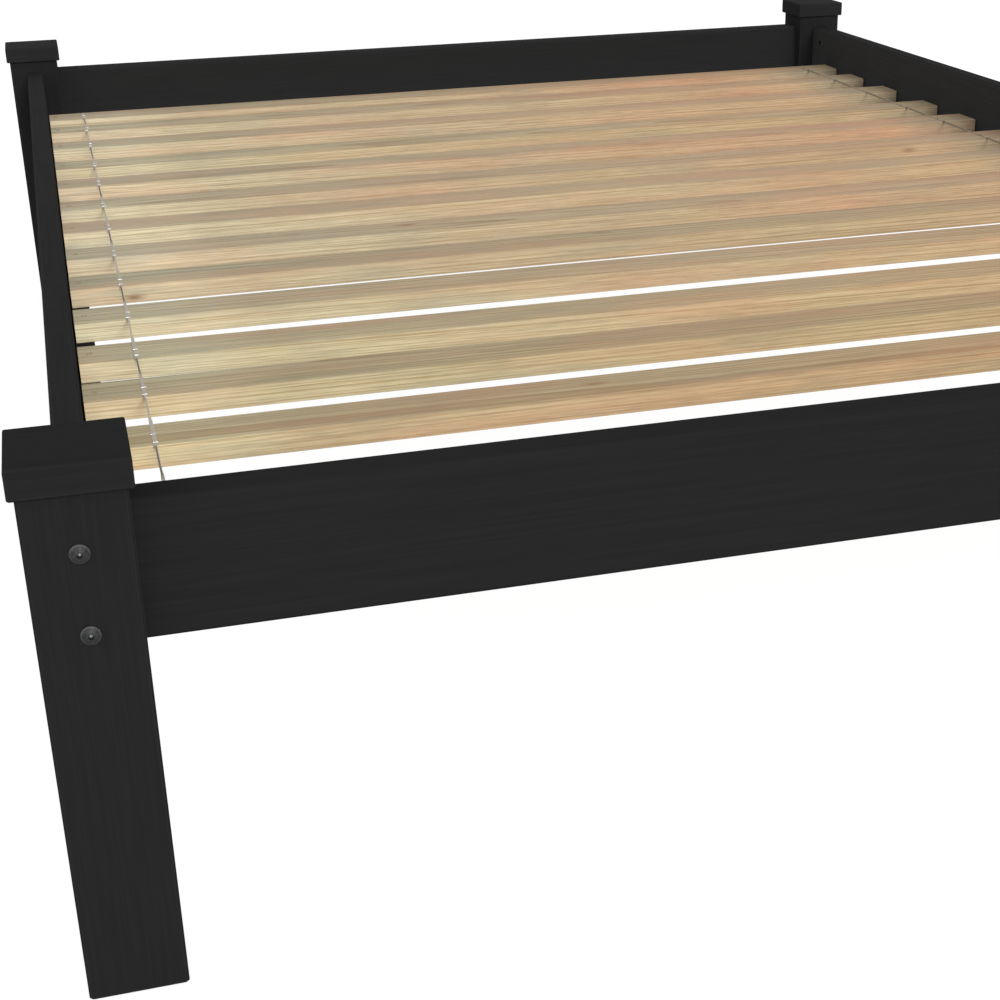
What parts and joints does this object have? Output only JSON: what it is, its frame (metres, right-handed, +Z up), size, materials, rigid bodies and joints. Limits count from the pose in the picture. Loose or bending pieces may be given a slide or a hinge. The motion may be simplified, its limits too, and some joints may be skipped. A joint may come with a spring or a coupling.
{
  "type": "bed frame",
  "caption": "Low-end wooden bed frame for a double mattress: capped square posts, black painted rails bolted together, and bare pine slats held on tapes.",
  "frame": {"origin": "on the floor, under the middle of the bed", "axes": "+X across the bed to the right as seen from the foot end, +Y along the bed from the foot end to the head end, +Z up"},
  "size_m": [1.486, 2.033, 0.435],
  "materials": {
    "black_paint": "satin black paint over pine",
    "bare_pine": "planed bare pine",
    "bolt_steel": "dull dark zinc",
    "screw_zinc": "yellow zinc",
    "slat_tape": "woven grey tape",
    "staple_wire": "bright galvanised wire"
  },
  "bodies": {
    "root": {"foot_rail": "black_paint", "bolts_foot": "bolt_steel", "barrel_nuts_foot": "bolt_steel", "post_foot_left": "black_paint", "cap_foot_left": "black_paint", "post_foot_right": "black_paint", "cap_foot_right": "black_paint", "head_rail": "black_paint", "bolts_head": "bolt_steel", "barrel_nuts_head": "bolt_steel", "post_head_left": "black_paint", "cap_head_left": "black_paint", "post_head_right": "black_paint", "cap_head_right": "black_paint", "side_rail_left": "black_paint", "ledge_left": "black_paint", "slat_tape_left": "slat_tape", "side_rail_right": "black_paint", "ledge_right": "black_paint", "slat_tape_right": "slat_tape", "slat_01": "bare_pine", "slat_02": "bare_pine", "slat_03": "bare_pine", "slat_04": "bare_pine", "slat_05": "bare_pine", "slat_06": "bare_pine", "slat_07": "bare_pine", "slat_08": "bare_pine", "slat_09": "bare_pine", "slat_10": "bare_pine", "slat_11": "bare_pine", "slat_12": "bare_pine", "slat_13": "bare_pine"}
  },
  "joints": []
}
